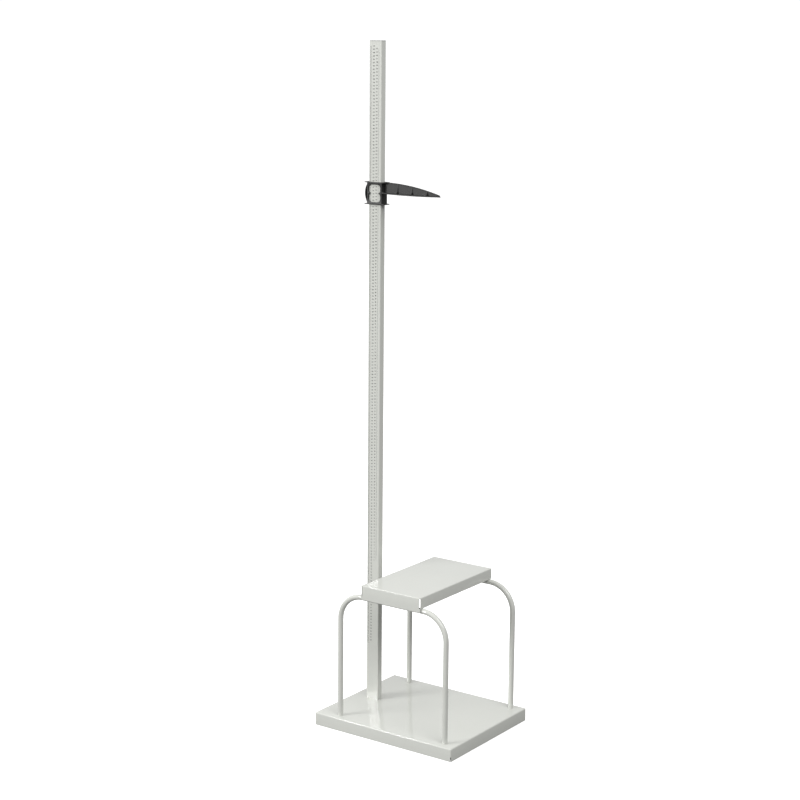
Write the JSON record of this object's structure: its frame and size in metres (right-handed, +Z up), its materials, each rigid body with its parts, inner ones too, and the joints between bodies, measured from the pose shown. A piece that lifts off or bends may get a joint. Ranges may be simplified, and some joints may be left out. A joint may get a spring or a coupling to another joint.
{
  "type": "height measuring stand with folding seat",
  "caption": "Floor-standing height measuring stand: folded steel platform, column with a printed scale, sliding headboard, tube frames and a seat that folds away.",
  "frame": {"origin": "middle of the platform's outline, on the floor under the rubber feet", "axes": "+Z up; +X from the frame that carries the hinge to the frame that the seat's free end rests on; the column stands towards +Y, its scale faces -X and the headboard points to -Y"},
  "size_m": [0.436, 0.525, 2.159],
  "materials": {
    "powder_coat": "satin powder coat",
    "zinc_steel": "zinc plated",
    "black_plastic": "fine moulded texture",
    "grey_plastic": "moulded",
    "scale_film": "printed film",
    "rubber": "moulded",
    "felt": "felt"
  },
  "bodies": {
    "stand": {"base_tray": "powder_coat", "near_channel": "zinc_steel", "far_channel": "zinc_steel", "column_channel": "zinc_steel", "rubber_feet": "rubber", "foot_screws": "zinc_steel", "column_tube": "powder_coat", "column_foot": "zinc_steel", "column_bolts": "zinc_steel", "column_washers": "zinc_steel", "column_cap": "grey_plastic", "scale_strip": "scale_film", "near_frame": "powder_coat", "far_frame": "powder_coat", "leg_plugs": "zinc_steel", "leg_bolts": "zinc_steel", "leg_washers": "zinc_steel"},
    "seat": {"seat_tray": "powder_coat", "seat_ribs": "zinc_steel", "hinge_clips": "black_plastic", "rest_cradles": "rubber", "seat_studs": "zinc_steel", "seat_nuts": "zinc_steel"},
    "slider": {"slider_body": "black_plastic", "grip_bow": "black_plastic", "guide_pads": "felt", "brake_spring": "zinc_steel", "brake_pad": "felt", "headboard_arm": "black_plastic", "arm_screws": "zinc_steel"}
  },
  "joints": [
    {"name": "seat_fold", "type": "hinge", "parent": "stand", "child": "seat", "pos_m": [-0.19, -0.02, 0.45], "axis": [0, -1, 0], "range_deg": [0, 270]},
    {"name": "slider_travel", "type": "slide", "parent": "stand", "child": "slider", "axis": [0, 0, 1], "range_m": [-1.192, 0.448]}
  ]
}
